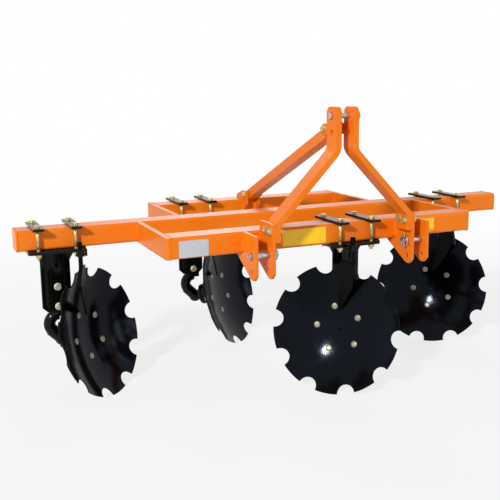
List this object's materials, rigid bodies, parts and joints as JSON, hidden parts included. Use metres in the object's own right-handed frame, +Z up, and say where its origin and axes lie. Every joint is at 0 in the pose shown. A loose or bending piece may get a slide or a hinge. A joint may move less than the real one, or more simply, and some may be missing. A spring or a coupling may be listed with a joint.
{
  "type": "four-disc ridger",
  "caption": "Mounted ridger with notched dished discs on swan-neck arms under an orange box-tube frame, with a two-bar mast for a three-point linkage",
  "frame": {"origin": "on the ground under the middle of the part's plan box", "axes": "X along the main beam, -Y towards the tractor, Z up"},
  "size_m": [2.8, 1.4628, 1.4383],
  "materials": {
    "orange_paint": "gloss",
    "black_paint": "satin",
    "black_disc": "gloss",
    "zinc": "yellow zinc plate",
    "bright_steel": "bright"
  },
  "bodies": {
    "frame": {"main_beam": "orange_paint", "beam_caps": "orange_paint", "front_bar": "orange_paint", "rear_bar": "orange_paint", "front_sides": "orange_paint", "rear_sides": "orange_paint", "hitch_outer": "orange_paint", "hitch_inner": "orange_paint", "lower_pins": "bright_steel", "mast_left": "orange_paint", "mast_right": "orange_paint", "mast_bolts": "zinc", "top_pin": "bright_steel", "stay": "orange_paint", "stay_bracket": "orange_paint", "stay_bolts": "zinc", "clamp_plates": "black_paint", "clamp_bolts": "zinc", "base_plates": "black_paint", "legs": "black_paint", "leg_bolts": "zinc", "arms": "black_paint", "scraper_blocks": "black_paint", "scrapers": "black_paint", "clips": "bright_steel"},
    "roller_lo": {"disc_lo": "black_disc", "hub_lo": "black_paint", "bolts_lo": "zinc"},
    "roller_li": {"disc_li": "black_disc", "hub_li": "black_paint", "bolts_li": "zinc"},
    "roller_ri": {"disc_ri": "black_disc", "hub_ri": "black_paint", "bolts_ri": "zinc"},
    "roller_ro": {"disc_ro": "black_disc", "hub_ro": "black_paint", "bolts_ro": "zinc"}
  },
  "joints": [
    {"name": "turn_lo", "type": "hinge", "parent": "frame", "child": "roller_lo", "pos_m": [-1.0032, -0.00872, 0.32133], "axis": [0.6849, -0.6849, 0.2487], "continuous": true},
    {"name": "turn_li", "type": "hinge", "parent": "frame", "child": "roller_li", "pos_m": [-0.0982, 0.48628, 0.32133], "axis": [0.6849, -0.6849, 0.2487], "continuous": true},
    {"name": "turn_ri", "type": "hinge", "parent": "frame", "child": "roller_ri", "pos_m": [0.0792, -0.48972, 0.32133], "axis": [-0.6849, -0.6849, 0.2487], "continuous": true},
    {"name": "turn_ro", "type": "hinge", "parent": "frame", "child": "roller_ro", "pos_m": [1.0222, -0.00872, 0.32133], "axis": [-0.6849, -0.6849, 0.2487], "continuous": true}
  ]
}
